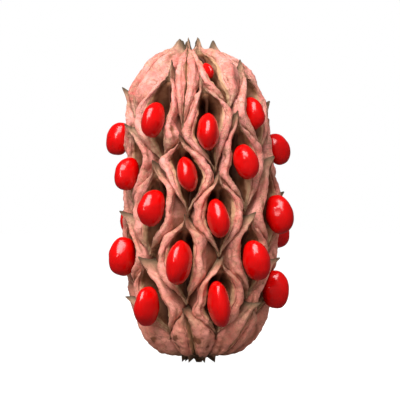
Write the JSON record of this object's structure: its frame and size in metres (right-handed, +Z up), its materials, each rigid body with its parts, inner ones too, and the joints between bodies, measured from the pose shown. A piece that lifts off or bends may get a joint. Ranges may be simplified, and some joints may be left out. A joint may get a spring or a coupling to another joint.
{
  "type": "magnolia fruit cone",
  "caption": "Upright egg-shaped magnolia fruit cone with split woody pods in a spiral, each holding a loose glossy red seed.",
  "frame": {"origin": "centre of the flat stalk scar at the bottom", "axes": "+Z up along the cone, from the stalk scar to the tip; the side seen in the picture faces -Y"},
  "size_m": [0.0543, 0.0546, 0.0941],
  "materials": {
    "pod": "matte, mottled pink and brown",
    "seed": "gloss"
  },
  "bodies": {
    "root": {"follicetum": "pod", "seed_01": "seed", "seed_02": "seed", "seed_03": "seed", "seed_04": "seed", "seed_05": "seed", "seed_06": "seed", "seed_07": "seed", "seed_08": "seed", "seed_09": "seed", "seed_10": "seed", "seed_11": "seed", "seed_12": "seed", "seed_13": "seed", "seed_14": "seed", "seed_15": "seed", "seed_16": "seed", "seed_17": "seed", "seed_18": "seed", "seed_19": "seed", "seed_20": "seed", "seed_21": "seed", "seed_22": "seed", "seed_23": "seed", "seed_24": "seed", "seed_25": "seed", "seed_26": "seed", "seed_27": "seed", "seed_28": "seed", "seed_29": "seed", "seed_30": "seed"}
  },
  "joints": []
}
